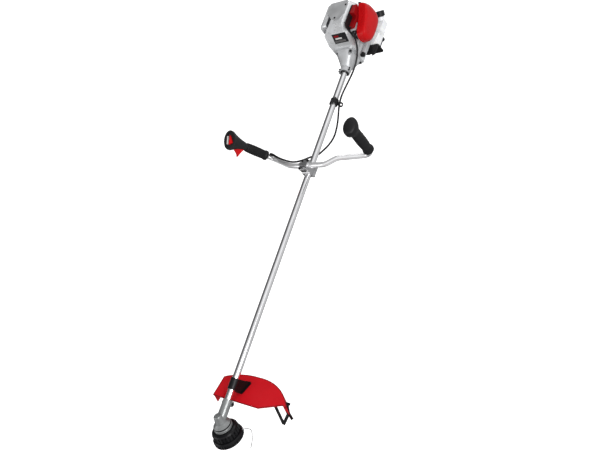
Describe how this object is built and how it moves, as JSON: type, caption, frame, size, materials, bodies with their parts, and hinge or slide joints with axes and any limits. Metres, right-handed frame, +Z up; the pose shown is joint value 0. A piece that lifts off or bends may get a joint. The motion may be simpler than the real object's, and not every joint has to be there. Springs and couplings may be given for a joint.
{
  "type": "string trimmer",
  "caption": "Petrol string trimmer: engine at the rear of a straight shaft, bull-horn handlebar, red guard and bump-feed line head.",
  "frame": {"origin": "centre of the harness eye, from which the machine hangs", "axes": "+X the operator's right, +Y forward along the shaft to the cutting head, +Z up"},
  "size_m": [0.7149, 1.9786, 0.3547],
  "materials": {
    "aluminium_tube": "polished",
    "bronze": "machined",
    "steel": "machined",
    "steel_bar": "bright",
    "black_steel": "black oxide, satin",
    "cast_aluminium": "cast, satin",
    "grey_casting": "grey paint on a casting, satin",
    "silver_paint": "silver paint, satin",
    "grey_plate": "satin",
    "black_plastic": "satin",
    "head_plastic": "glossy",
    "red_plastic": "satin gloss",
    "dark_red_plastic": "satin gloss",
    "pale_plastic": "satin",
    "tank_plastic": "translucent white, satin",
    "grip_rubber": "matte",
    "bulb_rubber": "clear",
    "line_nylon": "smooth",
    "spool_nylon": "smooth",
    "filter_foam": "open foam",
    "cable_jacket": "satin",
    "ceramic": "glazed"
  },
  "bodies": {
    "chassis": {"shaft_tube": "aluminium_tube", "shaft_bearings": "bronze", "gear_case": "grey_casting", "grease_plug": "black_steel", "guard_bracket": "black_steel", "guard": "red_plastic", "line_cutter": "black_steel", "harness_clamp": "black_plastic", "clamp_bolts": "black_steel", "handlebar_clamp": "cast_aluminium", "clutch_housing": "cast_aluminium", "collar_liner": "black_plastic", "fan_cover": "silver_paint", "crankcase": "cast_aluminium", "cylinder_block": "cast_aluminium", "piston": "cast_aluminium", "top_cover": "silver_paint", "cover_plate": "grey_plate", "recoil_housing": "silver_paint", "muffler": "steel", "muffler_guard": "silver_paint", "intake_insulator": "black_plastic", "carburettor": "cast_aluminium", "air_box": "dark_red_plastic", "air_filter_element": "filter_foam", "fuel_tank": "tank_plastic", "tank_stand": "black_plastic", "spark_plug": "ceramic", "engine_screws": "black_steel", "throttle_cable": "cable_jacket"},
    "crank": {"crankshaft": "steel", "flywheel": "cast_aluminium", "clutch_shoes": "steel"},
    "drive_line": {"drive_shaft": "steel", "clutch_drum": "steel", "bevel_pinion": "steel"},
    "cutting_head": {"bevel_gear": "steel", "output_spindle": "steel", "flange_holders": "grey_casting", "head_housing": "head_plastic", "head_cover": "head_plastic", "line_eyelets": "steel", "bump_spring": "steel", "trimmer_line": "line_nylon"},
    "bump": {"bump_knob": "head_plastic", "line_spool": "spool_nylon"},
    "handlebar": {"handlebar": "steel_bar", "left_grip": "grip_rubber", "throttle_grip": "grip_rubber"},
    "trigger": {"throttle_trigger": "red_plastic"},
    "lockout": {"throttle_lockout": "red_plastic"},
    "stop": {"stop_switch": "pale_plastic"},
    "carb_lever": {"carb_lever": "steel"},
    "choke": {"choke_lever": "black_plastic"},
    "primer": {"primer_bulb": "bulb_rubber"},
    "filter_cover": {"air_filter_cover": "red_plastic"},
    "fuel_cap": {"fuel_cap": "black_plastic"},
    "oil_cap": {"oil_cap": "black_plastic"},
    "starter": {"starter_handle": "black_plastic"},
    "wing_knob": {"clamp_knob": "cast_aluminium"}
  },
  "joints": [
    {"name": "crank_spin", "type": "hinge", "parent": "chassis", "child": "crank", "pos_m": [0.022, -0.33, 0.02], "axis": [0, 1, 0], "continuous": true},
    {"name": "head_spin", "type": "hinge", "parent": "chassis", "child": "cutting_head", "pos_m": [0.022, 1.378, 0.02], "axis": [0, 0.5, -0.866], "continuous": true},
    {"name": "drive_spin", "type": "hinge", "parent": "chassis", "child": "drive_line", "pos_m": [0.022, 0.6, 0.02], "axis": [0, 1, 0], "continuous": true},
    {"name": "bump_press", "type": "slide", "parent": "cutting_head", "child": "bump", "axis": [0, -0.5, 0.866], "range_m": [0, 0.004], "stiffness_N_per_m": 2000, "springref_m": -0.004},
    {"name": "bar_tilt", "type": "hinge", "parent": "chassis", "child": "handlebar", "pos_m": [0.022, 0.338, 0.055], "axis": [1, 0, 0], "range_deg": [-15, 15], "deforming": ["throttle_cable"]},
    {"name": "trigger_squeeze", "type": "hinge", "parent": "handlebar", "child": "trigger", "pos_m": [0.34826, 0.29821, 0.18188], "axis": [-0.9748, 0.0415, 0.219], "range_deg": [0, 16], "stiffness_Nm_per_rad": 0.4, "springref_deg": -20.05},
    {"name": "lockout_press", "type": "slide", "parent": "handlebar", "child": "lockout", "axis": [0.2201, -0.3312, -0.9175], "range_m": [0, 0.004], "stiffness_N_per_m": 300, "springref_m": -0.004},
    {"name": "stop_slide", "type": "slide", "parent": "handlebar", "child": "stop", "axis": [0.0444, -0.9362, 0.3486], "range_m": [0, 0.004]},
    {"name": "carb_lever_turn", "type": "hinge", "parent": "chassis", "child": "carb_lever", "pos_m": [-0.047, -0.284, 0.118], "axis": [0, 1, 0], "range_deg": [0, 48]},
    {"name": "choke_turn", "type": "hinge", "parent": "chassis", "child": "choke", "pos_m": [-0.041, -0.284, 0.104], "axis": [0, 1, 0], "range_deg": [0, 25]},
    {"name": "primer_press", "type": "slide", "parent": "chassis", "child": "primer", "axis": [0, 0, 1], "range_m": [0, 0.003], "stiffness_N_per_m": 400, "springref_m": -0.003},
    {"name": "filter_cover_pull", "type": "slide", "parent": "chassis", "child": "filter_cover", "axis": [-1, 0, 0], "range_m": [0, 0.06]},
    {"name": "fuel_cap_turn", "type": "hinge", "parent": "chassis", "child": "fuel_cap", "pos_m": [-0.046, -0.47984, -0.00688], "axis": [0, -0.6, 0.8], "range_deg": [0, 720]},
    {"name": "oil_cap_turn", "type": "hinge", "parent": "chassis", "child": "oil_cap", "pos_m": [-0.034, -0.2636, 0.007], "axis": [0, 1, 0], "range_deg": [0, 720]},
    {"name": "starter_pull", "type": "slide", "parent": "chassis", "child": "starter", "axis": [1, 0, 0], "range_m": [0, 0.5]},
    {"name": "wing_knob_turn", "type": "hinge", "parent": "chassis", "child": "wing_knob", "pos_m": [0.008, 0.3562, 0.065], "axis": [0, 0, 1], "range_deg": [0, 360]}
  ],
  "couplings": [
    {"joint": "drive_spin", "follows": "head_spin", "ratio": -1.3571},
    {"joint": "carb_lever_turn", "follows": "trigger_squeeze", "ratio": 3}
  ]
}
